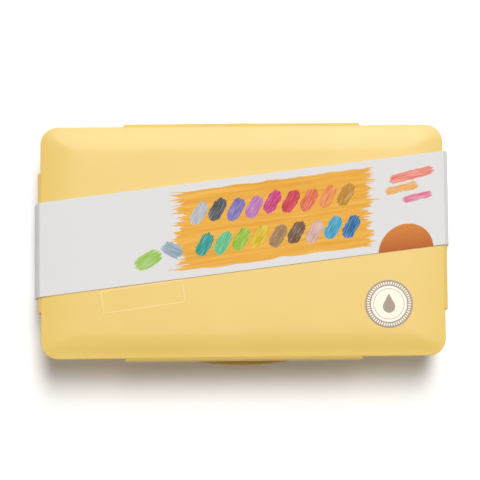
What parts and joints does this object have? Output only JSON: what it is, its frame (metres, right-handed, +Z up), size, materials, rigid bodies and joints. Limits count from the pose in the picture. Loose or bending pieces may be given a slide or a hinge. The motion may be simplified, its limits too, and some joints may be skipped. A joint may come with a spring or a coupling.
{
  "type": "gouache paint set box",
  "caption": "Shallow rectangular paint case with a lift-off lid, swinging side latches, a tray of square paint cups, brushes, a palette and a slanted paper sleeve.",
  "frame": {"origin": "middle of the footprint, at the height of the surface that the closed case lies on", "axes": "+X along the long side to the right, +Y to the back, +Z up through the lid"},
  "size_m": [0.2656, 0.1556, 0.0451],
  "materials": {
    "case_plastic": "moulded polypropylene, fine satin",
    "tray_plastic": "moulded polypropylene, smooth",
    "seal_rubber": "soft silicone",
    "sticker_paper": "coated paper label",
    "sleeve_paper": "coated card, satin",
    "cup_plastic": "clear polystyrene, polished",
    "brush_wood": "varnished",
    "brush_ferrule": "drawn, bright",
    "brush_hair": "fine synthetic hair",
    "paint_silver": "wet paint",
    "paint_teal": "wet paint",
    "paint_blue": "wet paint",
    "paint_rose": "wet paint",
    "paint_brown": "wet paint",
    "paint_tan": "wet paint",
    "paint_blush": "wet paint",
    "paint_mint": "wet paint",
    "paint_sky": "wet paint",
    "paint_red": "wet paint",
    "paint_coral": "wet paint",
    "paint_gold": "wet paint",
    "paint_charcoal": "wet paint",
    "paint_lime": "wet paint",
    "paint_lilac": "wet paint",
    "paint_orchid": "wet paint",
    "paint_apricot": "wet paint",
    "paint_yellow": "wet paint"
  },
  "bodies": {
    "base": {"base_shell": "case_plastic"},
    "tray": {"cup_tray": "tray_plastic"},
    "cup_01": {"cup_01": "cup_plastic", "paint_01": "paint_silver"},
    "cup_02": {"cup_02": "cup_plastic", "paint_02": "paint_teal"},
    "cup_03": {"cup_03": "cup_plastic", "paint_03": "paint_blue"},
    "cup_04": {"cup_04": "cup_plastic", "paint_04": "paint_rose"},
    "cup_05": {"cup_05": "cup_plastic", "paint_05": "paint_brown"},
    "cup_06": {"cup_06": "cup_plastic", "paint_06": "paint_tan"},
    "cup_07": {"cup_07": "cup_plastic", "paint_07": "paint_blush"},
    "cup_08": {"cup_08": "cup_plastic", "paint_08": "paint_mint"},
    "cup_09": {"cup_09": "cup_plastic", "paint_09": "paint_sky"},
    "cup_10": {"cup_10": "cup_plastic", "paint_10": "paint_red"},
    "cup_11": {"cup_11": "cup_plastic", "paint_11": "paint_coral"},
    "cup_12": {"cup_12": "cup_plastic", "paint_12": "paint_gold"},
    "cup_13": {"cup_13": "cup_plastic", "paint_13": "paint_charcoal"},
    "cup_14": {"cup_14": "cup_plastic", "paint_14": "paint_lime"},
    "cup_15": {"cup_15": "cup_plastic", "paint_15": "paint_lilac"},
    "cup_16": {"cup_16": "cup_plastic", "paint_16": "paint_orchid"},
    "cup_17": {"cup_17": "cup_plastic", "paint_17": "paint_apricot"},
    "cup_18": {"cup_18": "cup_plastic", "paint_18": "paint_yellow"},
    "brush_1": {"brush_1_handle": "brush_wood", "brush_1_ferrule": "brush_ferrule", "brush_1_hair": "brush_hair"},
    "brush_2": {"brush_2_handle": "brush_wood", "brush_2_ferrule": "brush_ferrule", "brush_2_hair": "brush_hair"},
    "brush_3": {"brush_3_handle": "brush_wood", "brush_3_ferrule": "brush_ferrule", "brush_3_hair": "brush_hair"},
    "palette": {"palette": "tray_plastic"},
    "lid": {"lid_shell": "case_plastic", "lid_gasket": "seal_rubber", "lid_sticker": "sticker_paper"},
    "latch_front": {"latch_front": "case_plastic"},
    "latch_right": {"latch_right": "case_plastic"},
    "latch_back": {"latch_back": "case_plastic"},
    "latch_left": {"latch_left": "case_plastic"},
    "sleeve_top": {"sleeve_top": "sleeve_paper"},
    "sleeve_right": {"sleeve_right": "sleeve_paper"},
    "sleeve_left": {"sleeve_left": "sleeve_paper"},
    "sleeve_bottom": {"sleeve_bottom": "sleeve_paper"}
  },
  "joints": [
    {"name": "lid_lift", "type": "slide", "parent": "base", "child": "lid", "axis": [0, 0, 1], "range_m": [0, 0.16]},
    {"name": "latch_front_hinge", "type": "hinge", "parent": "lid", "child": "latch_front", "pos_m": [0, -0.0744, 0.0402], "axis": [-1, 0, 0], "range_deg": [0, 135]},
    {"name": "latch_right_hinge", "type": "hinge", "parent": "lid", "child": "latch_right", "pos_m": [0.12855, 0, 0.0402], "axis": [0, -1, 0], "range_deg": [0, 135]},
    {"name": "latch_back_hinge", "type": "hinge", "parent": "lid", "child": "latch_back", "pos_m": [0, 0.0744, 0.0402], "axis": [1, 0, 0], "range_deg": [0, 135]},
    {"name": "latch_left_hinge", "type": "hinge", "parent": "lid", "child": "latch_left", "pos_m": [-0.12855, 0, 0.0402], "axis": [0, 1, 0], "range_deg": [0, 135]},
    {"name": "sleeve_slide", "type": "slide", "parent": "lid", "child": "sleeve_top", "axis": [0, 1, 0], "range_m": [-0.14, 0.12]},
    {"name": "sleeve_bottom_slide", "type": "slide", "parent": "base", "child": "sleeve_bottom", "axis": [0, 1, 0], "range_m": [-0.14, 0.12]},
    {"name": "sleeve_right_crease", "type": "hinge", "parent": "sleeve_top", "child": "sleeve_right", "pos_m": [0.12807, 0.0266, 0.04299], "axis": [0, -1, 0], "range_deg": [0, 135]},
    {"name": "sleeve_left_crease", "type": "hinge", "parent": "sleeve_top", "child": "sleeve_left", "pos_m": [-0.12807, -0.0044, 0.04299], "axis": [0, 1, 0], "range_deg": [0, 135]},
    {"name": "palette_lift", "type": "slide", "parent": "base", "child": "palette", "axis": [0, 0, 1], "range_m": [0, 0.096]},
    {"name": "tray_lift", "type": "slide", "parent": "base", "child": "tray", "axis": [0, 0, 1], "range_m": [0, 0.02]},
    {"name": "brush_1_lift", "type": "slide", "parent": "tray", "child": "brush_1", "axis": [0, 0, 1], "range_m": [0, 0.04]},
    {"name": "brush_2_lift", "type": "slide", "parent": "tray", "child": "brush_2", "axis": [0, 0, 1], "range_m": [0, 0.04]},
    {"name": "brush_3_lift", "type": "slide", "parent": "tray", "child": "brush_3", "axis": [0, 0, 1], "range_m": [0, 0.04]},
    {"name": "cup_01_lift", "type": "slide", "parent": "tray", "child": "cup_01", "axis": [0, 0, 1], "range_m": [0, 0.04]},
    {"name": "cup_02_lift", "type": "slide", "parent": "tray", "child": "cup_02", "axis": [0, 0, 1], "range_m": [0, 0.04]},
    {"name": "cup_03_lift", "type": "slide", "parent": "tray", "child": "cup_03", "axis": [0, 0, 1], "range_m": [0, 0.04]},
    {"name": "cup_04_lift", "type": "slide", "parent": "tray", "child": "cup_04", "axis": [0, 0, 1], "range_m": [0, 0.04]},
    {"name": "cup_05_lift", "type": "slide", "parent": "tray", "child": "cup_05", "axis": [0, 0, 1], "range_m": [0, 0.04]},
    {"name": "cup_06_lift", "type": "slide", "parent": "tray", "child": "cup_06", "axis": [0, 0, 1], "range_m": [0, 0.04]},
    {"name": "cup_07_lift", "type": "slide", "parent": "tray", "child": "cup_07", "axis": [0, 0, 1], "range_m": [0, 0.04]},
    {"name": "cup_08_lift", "type": "slide", "parent": "tray", "child": "cup_08", "axis": [0, 0, 1], "range_m": [0, 0.04]},
    {"name": "cup_09_lift", "type": "slide", "parent": "tray", "child": "cup_09", "axis": [0, 0, 1], "range_m": [0, 0.04]},
    {"name": "cup_10_lift", "type": "slide", "parent": "tray", "child": "cup_10", "axis": [0, 0, 1], "range_m": [0, 0.04]},
    {"name": "cup_11_lift", "type": "slide", "parent": "tray", "child": "cup_11", "axis": [0, 0, 1], "range_m": [0, 0.04]},
    {"name": "cup_12_lift", "type": "slide", "parent": "tray", "child": "cup_12", "axis": [0, 0, 1], "range_m": [0, 0.04]},
    {"name": "cup_13_lift", "type": "slide", "parent": "tray", "child": "cup_13", "axis": [0, 0, 1], "range_m": [0, 0.04]},
    {"name": "cup_14_lift", "type": "slide", "parent": "tray", "child": "cup_14", "axis": [0, 0, 1], "range_m": [0, 0.04]},
    {"name": "cup_15_lift", "type": "slide", "parent": "tray", "child": "cup_15", "axis": [0, 0, 1], "range_m": [0, 0.04]},
    {"name": "cup_16_lift", "type": "slide", "parent": "tray", "child": "cup_16", "axis": [0, 0, 1], "range_m": [0, 0.04]},
    {"name": "cup_17_lift", "type": "slide", "parent": "tray", "child": "cup_17", "axis": [0, 0, 1], "range_m": [0, 0.04]},
    {"name": "cup_18_lift", "type": "slide", "parent": "tray", "child": "cup_18", "axis": [0, 0, 1], "range_m": [0, 0.04]}
  ],
  "couplings": [
    {"joint": "sleeve_bottom_slide", "follows": "sleeve_slide", "ratio": 1},
    {"joint": "sleeve_right_crease", "follows": "latch_right_hinge", "ratio": 1},
    {"joint": "sleeve_left_crease", "follows": "latch_left_hinge", "ratio": 1},
    {"joint": "palette_lift", "follows": "lid_lift", "ratio": 0.6},
    {"joint": "tray_lift", "follows": "lid_lift", "ratio": 0.125},
    {"joint": "brush_1_lift", "follows": "lid_lift", "ratio": 0.2},
    {"joint": "brush_2_lift", "follows": "lid_lift", "ratio": 0.2},
    {"joint": "brush_3_lift", "follows": "lid_lift", "ratio": 0.2},
    {"joint": "cup_01_lift", "follows": "lid_lift", "ratio": 0.22},
    {"joint": "cup_02_lift", "follows": "lid_lift", "ratio": 0.22},
    {"joint": "cup_03_lift", "follows": "lid_lift", "ratio": 0.22},
    {"joint": "cup_04_lift", "follows": "lid_lift", "ratio": 0.22},
    {"joint": "cup_05_lift", "follows": "lid_lift", "ratio": 0.22},
    {"joint": "cup_06_lift", "follows": "lid_lift", "ratio": 0.22},
    {"joint": "cup_07_lift", "follows": "lid_lift", "ratio": 0.22},
    {"joint": "cup_08_lift", "follows": "lid_lift", "ratio": 0.22},
    {"joint": "cup_09_lift", "follows": "lid_lift", "ratio": 0.22},
    {"joint": "cup_10_lift", "follows": "lid_lift", "ratio": 0.22},
    {"joint": "cup_11_lift", "follows": "lid_lift", "ratio": 0.22},
    {"joint": "cup_12_lift", "follows": "lid_lift", "ratio": 0.22},
    {"joint": "cup_13_lift", "follows": "lid_lift", "ratio": 0.22},
    {"joint": "cup_14_lift", "follows": "lid_lift", "ratio": 0.22},
    {"joint": "cup_15_lift", "follows": "lid_lift", "ratio": 0.22},
    {"joint": "cup_16_lift", "follows": "lid_lift", "ratio": 0.22},
    {"joint": "cup_17_lift", "follows": "lid_lift", "ratio": 0.22},
    {"joint": "cup_18_lift", "follows": "lid_lift", "ratio": 0.22}
  ]
}
